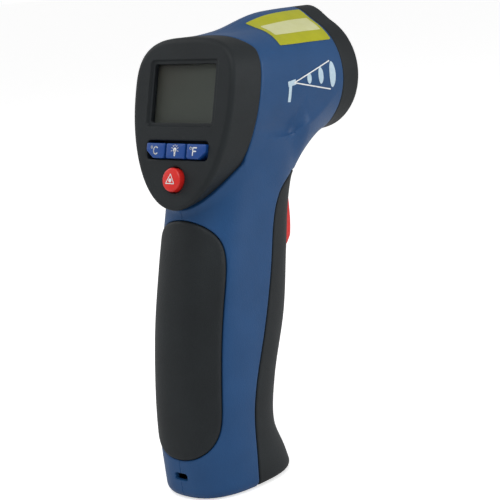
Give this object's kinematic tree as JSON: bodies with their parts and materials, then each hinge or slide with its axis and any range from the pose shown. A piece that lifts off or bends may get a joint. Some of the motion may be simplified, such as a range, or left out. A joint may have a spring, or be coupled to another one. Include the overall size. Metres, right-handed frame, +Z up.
{
  "type": "infrared thermometer",
  "caption": "Pistol-grip infrared thermometer with a display and keys on the back of the barrel, a trigger and a battery door that forms the front of the grip.",
  "frame": {"origin": "middle of the footprint, on the flat foot of the grip", "axes": "+X the way the nose points, +Y the user's left, +Z up; Y = 0 is the seam between the half shells"},
  "size_m": [0.0828, 0.0424, 0.1499],
  "materials": {
    "shell_blue": "fine spark texture, satin",
    "soft_black": "soft-touch, matt",
    "inner_black": "matt",
    "inner_rubber": "matt",
    "clear_window": "polished clear plastic",
    "lcd_glass": "grey reflective display",
    "white_plastic": "satin",
    "key_blue": "satin",
    "signal_red": "satin gloss",
    "steel": "bright zinc plate",
    "circuit_green": "solder mask",
    "component_dark": "moulded epoxy",
    "battery_jacket": "plain jacket",
    "milky_lens": "milky infrared plastic",
    "laser_brass": "turned"
  },
  "bodies": {
    "housing": {"right_shell": "shell_blue", "left_shell": "shell_blue", "display_bezel": "soft_black", "display_window": "clear_window", "lcd_panel": "lcd_glass", "lcd_backlight": "white_plastic", "contact_strip": "inner_rubber", "main_board": "circuit_green", "controller_chip": "component_dark", "keypad_mat": "inner_rubber", "rear_grip_pad": "soft_black", "door_pin": "steel", "trigger_pin": "steel", "trigger_spring": "steel", "trigger_switch": "component_dark", "battery": "battery_jacket", "battery_snap": "inner_black", "battery_tray": "inner_black", "nose_ring": "soft_black", "lens_tube": "inner_black", "lens": "milky_lens", "sensor_can": "steel", "sensor_board": "circuit_green", "laser_module": "laser_brass", "laser_window": "clear_window", "buzzer": "component_dark", "housing_screws": "steel", "board_screws": "steel"},
    "celsius_key": {"celsius_key": "key_blue"},
    "backlight_key": {"backlight_key": "key_blue"},
    "fahrenheit_key": {"fahrenheit_key": "key_blue"},
    "laser_key": {"laser_key": "signal_red"},
    "trigger": {"trigger": "signal_red"},
    "battery_door": {"battery_door": "soft_black"}
  },
  "joints": [
    {"name": "battery_door_hinge", "type": "hinge", "parent": "housing", "child": "battery_door", "pos_m": [-0.00159, 0, 0.0031], "axis": [0, 1, 0], "range_deg": [0, 75]},
    {"name": "trigger_pull", "type": "hinge", "parent": "housing", "child": "trigger", "pos_m": [0.0038, 0, 0.0955], "axis": [0, 1, 0], "range_deg": [0, 7], "stiffness_Nm_per_rad": 0.4, "springref_deg": -5.73},
    {"name": "celsius_key_press", "type": "slide", "parent": "housing", "child": "celsius_key", "axis": [0.9681, 0, -0.2504], "range_m": [0, 0.0006], "stiffness_N_per_m": 2500, "springref_m": -0.0002},
    {"name": "backlight_key_press", "type": "slide", "parent": "housing", "child": "backlight_key", "axis": [0.9681, 0, -0.2504], "range_m": [0, 0.0006], "stiffness_N_per_m": 2500, "springref_m": -0.0002},
    {"name": "fahrenheit_key_press", "type": "slide", "parent": "housing", "child": "fahrenheit_key", "axis": [0.9681, 0, -0.2504], "range_m": [0, 0.0006], "stiffness_N_per_m": 2500, "springref_m": -0.0002},
    {"name": "laser_key_press", "type": "slide", "parent": "housing", "child": "laser_key", "axis": [0.9681, 0, -0.2504], "range_m": [0, 0.0006], "stiffness_N_per_m": 2500, "springref_m": -0.0002}
  ]
}
